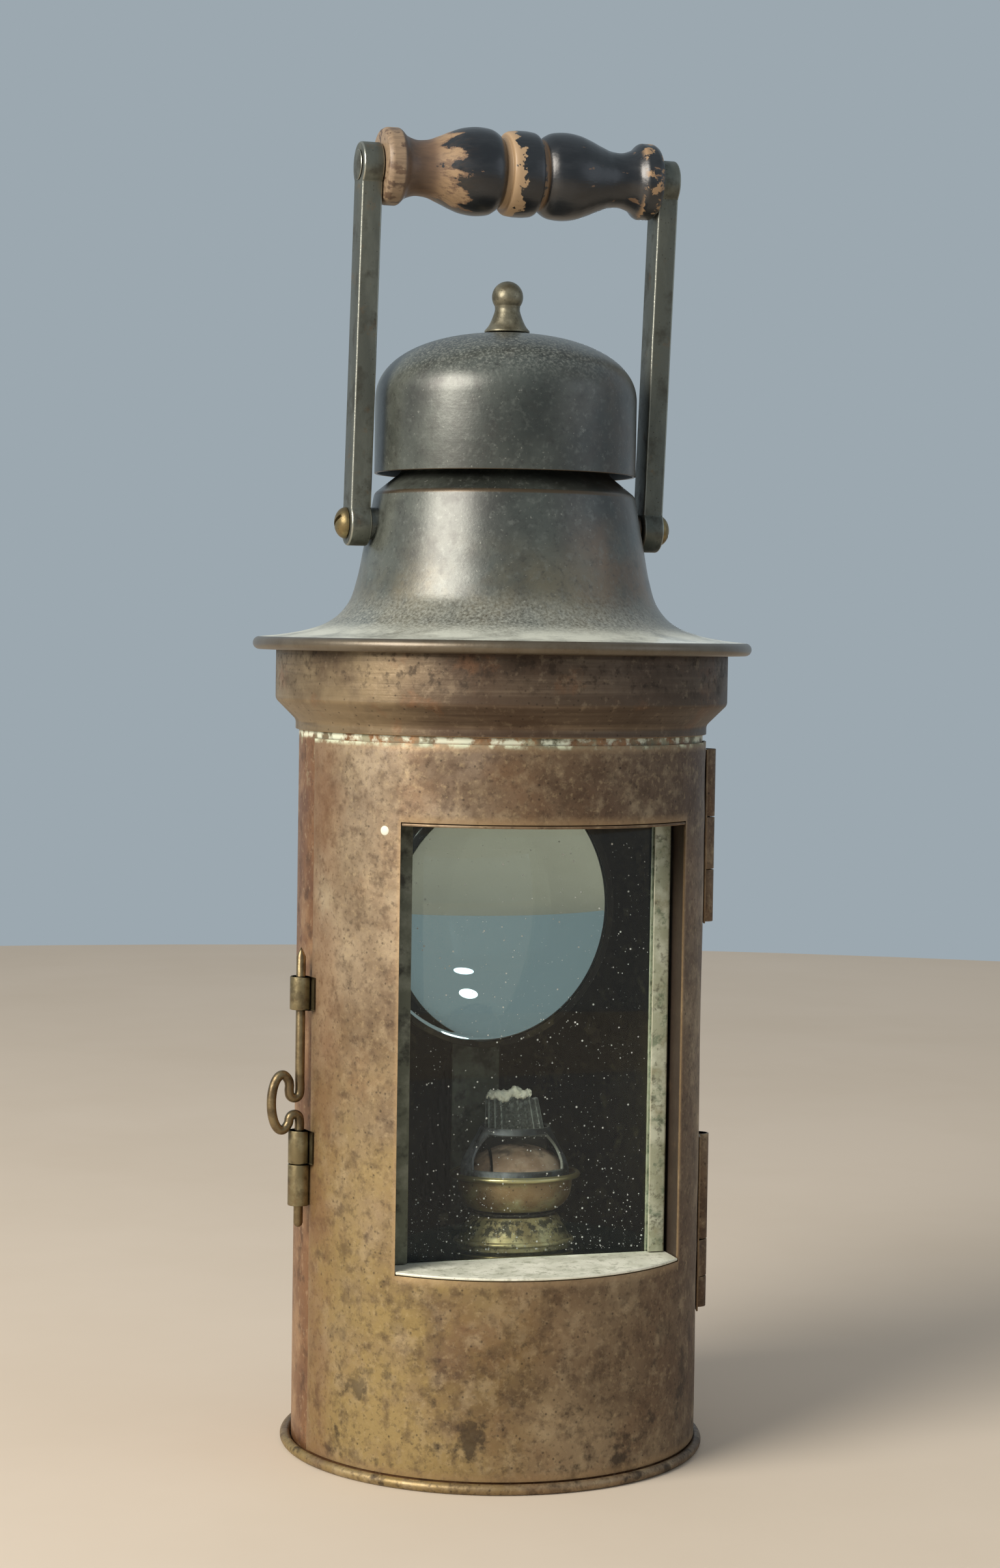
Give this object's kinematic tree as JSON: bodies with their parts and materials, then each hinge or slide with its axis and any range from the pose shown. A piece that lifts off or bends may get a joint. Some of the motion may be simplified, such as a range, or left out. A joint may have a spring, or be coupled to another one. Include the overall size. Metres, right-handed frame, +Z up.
{
  "type": "bullseye lantern",
  "caption": "Hand oil lantern: a cylindrical copper case with a hinged glazed door, a lens at the back, a domed canopy and a swinging handle.",
  "frame": {"origin": "centre of the underside of the base, on the plane that the lantern stands on", "axes": "+Z up, the glazed door faces -Y, its hinges are at +X and the lens looks along +Y"},
  "size_m": [0.1566, 0.1566, 0.4112],
  "materials": {
    "brown_copper": "brown patina, mottled, satin",
    "bright_copper": "worn copper, satin",
    "dark_copper": "grey-green patina, satin",
    "brass": "aged, satin",
    "iron": "dark, satin",
    "sooty_iron": "soot, matte",
    "tinned_brass": "dull, dusty",
    "worn_wood": "black paint worn to bare wood",
    "cotton": "woven, charred top",
    "glass": "clear, dusty"
  },
  "bodies": {
    "case": {"body_shell": "bright_copper", "base_pan": "brown_copper", "top_band": "brown_copper", "canopy": "dark_copper", "inner_chimney": "sooty_iron", "dome_cap": "dark_copper", "dome_bridge": "iron", "dome_spacer": "iron", "dome_nut": "brass", "finial": "brass", "lens_tube": "brown_copper", "bullseye_lens": "glass", "lens_spring_ring": "iron", "lens_bezel": "brass", "lens_strap": "tinned_brass", "latch_keeper": "tinned_brass", "upper_hinge_case_leaf": "brown_copper", "lower_hinge_case_leaf": "brown_copper", "upper_hinge_pin": "iron", "lower_hinge_pin": "iron", "left_bail_boss": "dark_copper", "right_bail_boss": "dark_copper", "left_pivot_screw": "brass", "right_pivot_screw": "brass", "left_pivot_nut": "brass", "right_pivot_nut": "brass", "oil_fount": "brass", "filler_cap": "brass", "fount_seat": "iron", "fount_collar": "brass", "burner_base": "brass", "wick_tube": "brass", "burner_dish": "brass", "flame_cone": "sooty_iron", "burner_lobe": "bright_copper"},
    "door": {"door_panel": "brown_copper", "window_sill": "tinned_brass", "window_head": "brown_copper", "left_glass_channel": "tinned_brass", "right_glass_channel": "tinned_brass", "window_glass": "glass", "upper_latch_sleeve": "tinned_brass", "lower_latch_sleeve": "tinned_brass", "upper_hinge_door_leaf": "brown_copper", "lower_hinge_door_leaf": "brown_copper"},
    "latch": {"latch_pin": "iron"},
    "bail": {"left_bail_bar": "iron", "right_bail_bar": "iron", "grip_rod": "iron"},
    "grip": {"wood_grip": "worn_wood"},
    "winder": {"wick_winder": "brass"},
    "wick": {"wick": "cotton"}
  },
  "joints": [
    {"name": "door_swing", "type": "hinge", "parent": "case", "child": "door", "pos_m": [0.0651, -0.01148, 0.131], "axis": [0, 0, 1], "range_deg": [0, 130]},
    {"name": "latch_lift", "type": "slide", "parent": "door", "child": "latch", "axis": [0, 0, 1], "range_m": [0, 0.0205]},
    {"name": "bail_swing", "type": "hinge", "parent": "case", "child": "bail", "pos_m": [0, 0, 0.2895], "axis": [1, 0, 0], "range_deg": [-115.1, 104.9]},
    {"name": "grip_spin", "type": "hinge", "parent": "bail", "child": "grip", "pos_m": [0, -0.00968, 0.39797], "axis": [1, 0, 0], "continuous": true},
    {"name": "winder_turn", "type": "hinge", "parent": "case", "child": "winder", "pos_m": [0.00398, -0.0064, 0.0713], "axis": [-0.9781, 0.2079, 0], "range_deg": [-108, 54]},
    {"name": "wick_slide", "type": "slide", "parent": "case", "child": "wick", "axis": [0, 0, 1], "range_m": [-0.006, 0.003]}
  ],
  "couplings": [
    {"joint": "winder_turn", "follows": "wick_slide", "rad_per_m": 312.5}
  ]
}
